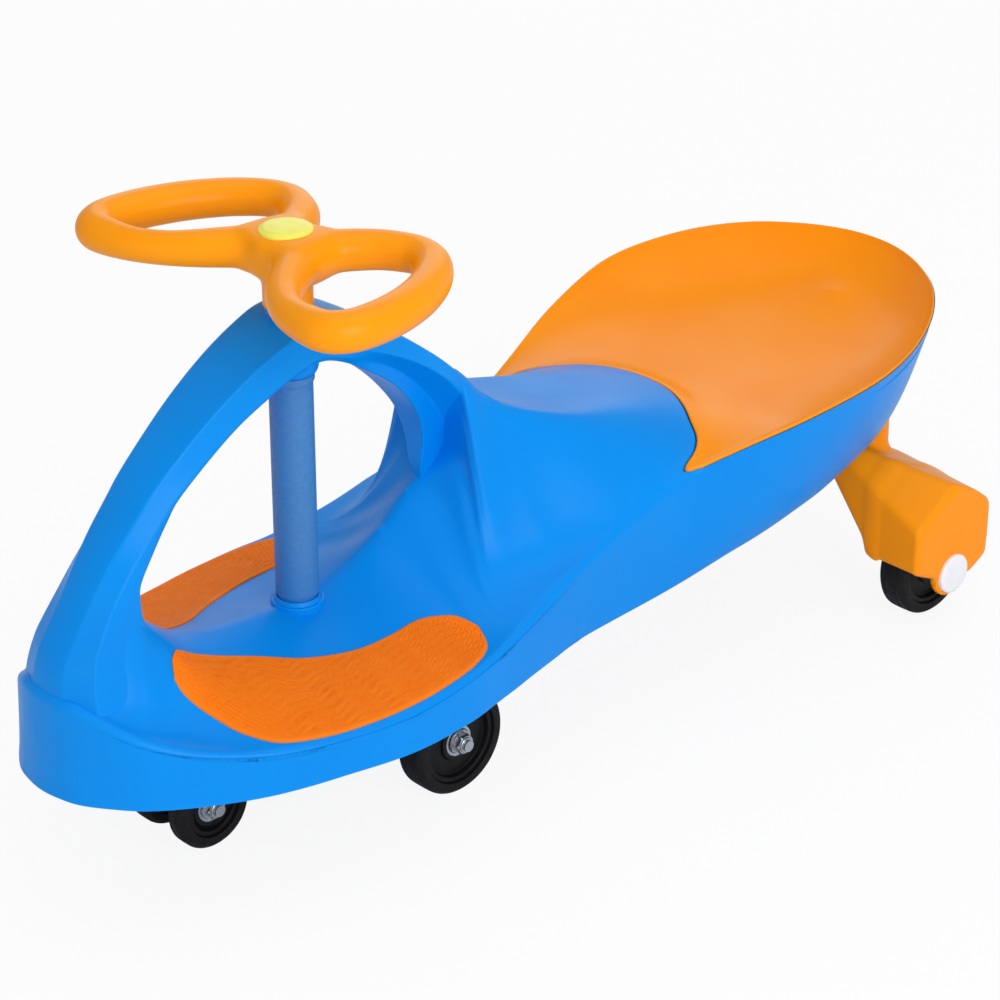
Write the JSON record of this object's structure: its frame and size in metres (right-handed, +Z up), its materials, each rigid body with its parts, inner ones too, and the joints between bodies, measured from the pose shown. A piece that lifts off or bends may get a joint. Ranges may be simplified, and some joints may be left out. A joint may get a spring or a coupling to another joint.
{
  "type": "ride-on wiggle car",
  "caption": "Child's ride-on wiggle car: moulded body with an arch over the steering column, bucket seat, looped steering wheel, swinging front wheel bracket and hooded rear wheels.",
  "frame": {"origin": "on the floor below the middle of the car's length and width", "axes": "+X to the nose, +Y to the car's left, +Z up"},
  "size_m": [0.782, 0.319, 0.4],
  "materials": {
    "blue_body": "satin moulded polypropylene",
    "orange_plastic": "satin moulded polypropylene",
    "pad_orange": "fine embossed grain",
    "slate_sleeve": "matt moulded tube",
    "yellow_cap": "satin",
    "white_plastic": "satin",
    "black_tyre": "smooth polyurethane tread",
    "black_core": "moulded nylon",
    "bracket_steel": "black powder coat",
    "zinc_steel": "bright zinc plate"
  },
  "bodies": {
    "base": {"body_shell": "blue_body", "seat": "orange_plastic", "foot_pad_left": "pad_orange", "foot_pad_right": "pad_orange", "column_sleeve": "slate_sleeve", "upper_bush": "white_plastic", "lower_bush": "white_plastic", "rear_arm_left": "orange_plastic", "rear_arm_right": "orange_plastic", "rear_axles": "zinc_steel", "rear_spacers": "zinc_steel", "rear_nuts": "zinc_steel", "axle_cap_left": "white_plastic", "axle_cap_right": "white_plastic"},
    "steering": {"steering_wheel": "orange_plastic", "hub_cap": "yellow_cap", "hub_screw": "zinc_steel", "hub_washer": "zinc_steel", "steering_shaft": "zinc_steel", "thrust_washer": "zinc_steel", "front_bracket": "bracket_steel", "main_axle": "zinc_steel", "main_spacers": "zinc_steel", "main_washers": "zinc_steel", "main_nuts": "zinc_steel", "safety_axle": "zinc_steel", "safety_spacers": "zinc_steel", "safety_nuts": "zinc_steel"},
    "main_wheel_left": {"main_tyre_left": "black_tyre", "main_core_left": "black_core", "main_bearings_left": "zinc_steel"},
    "main_wheel_right": {"main_tyre_right": "black_tyre", "main_core_right": "black_core", "main_bearings_right": "zinc_steel"},
    "safety_wheel_left": {"safety_tyre_left": "black_tyre", "safety_core_left": "black_core", "safety_bearing_left": "zinc_steel"},
    "safety_wheel_right": {"safety_tyre_right": "black_tyre", "safety_core_right": "black_core", "safety_bearing_right": "zinc_steel"},
    "rear_wheel_left": {"rear_tyre_left": "black_tyre", "rear_core_left": "black_core", "rear_bearings_left": "zinc_steel"},
    "rear_wheel_right": {"rear_tyre_right": "black_tyre", "rear_core_right": "black_core", "rear_bearings_right": "zinc_steel"}
  },
  "joints": [
    {"name": "steering_turn", "type": "hinge", "parent": "base", "child": "steering", "pos_m": [0.181, 0, 0.2], "axis": [0, 0, 1], "continuous": true},
    {"name": "main_left_roll", "type": "hinge", "parent": "steering", "child": "main_wheel_left", "pos_m": [0.113, 0.0715, 0.0385], "axis": [0, 1, 0], "continuous": true},
    {"name": "main_right_roll", "type": "hinge", "parent": "steering", "child": "main_wheel_right", "pos_m": [0.113, -0.0715, 0.0385], "axis": [0, 1, 0], "continuous": true},
    {"name": "safety_left_roll", "type": "hinge", "parent": "steering", "child": "safety_wheel_left", "pos_m": [0.278, 0.0205, 0.034], "axis": [0, 1, 0], "continuous": true},
    {"name": "safety_right_roll", "type": "hinge", "parent": "steering", "child": "safety_wheel_right", "pos_m": [0.278, -0.0205, 0.034], "axis": [0, 1, 0], "continuous": true},
    {"name": "rear_left_roll", "type": "hinge", "parent": "base", "child": "rear_wheel_left", "pos_m": [-0.309, 0.129, 0.0385], "axis": [0, 1, 0], "continuous": true},
    {"name": "rear_right_roll", "type": "hinge", "parent": "base", "child": "rear_wheel_right", "pos_m": [-0.309, -0.129, 0.0385], "axis": [0, 1, 0], "continuous": true}
  ]
}
